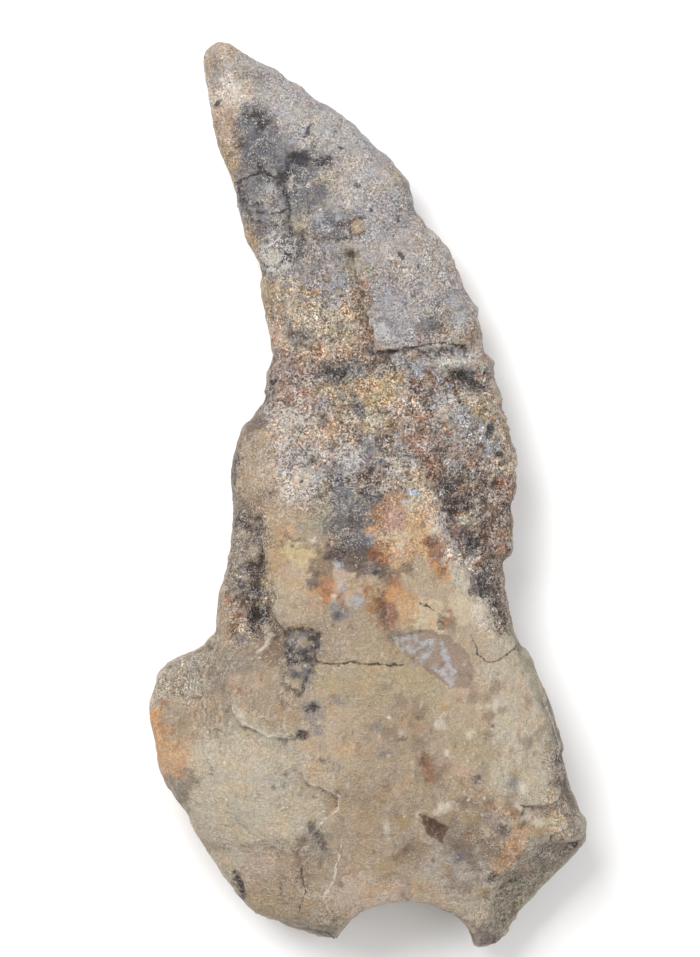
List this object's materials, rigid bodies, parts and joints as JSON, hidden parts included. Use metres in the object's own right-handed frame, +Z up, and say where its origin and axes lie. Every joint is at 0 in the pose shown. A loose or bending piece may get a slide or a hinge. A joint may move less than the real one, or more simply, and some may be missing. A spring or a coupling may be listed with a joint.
{
  "type": "fossil theropod tooth",
  "caption": "Curved, flattened fossil meat-eating dinosaur tooth with its broken root, lying on its inner side.",
  "frame": {"origin": "on the surface that the tooth lies on, under the middle of its box", "axes": "+Y from the root to the crown's tip, +X across the tooth to its convex edge, +Z up from the surface"},
  "size_m": [0.0434, 0.0908, 0.0171],
  "materials": {
    "fossil": "matte mineralised dentine and enamel, sandy grain, a few glossy chips"
  },
  "bodies": {
    "root": {"tooth": "fossil"}
  },
  "joints": []
}
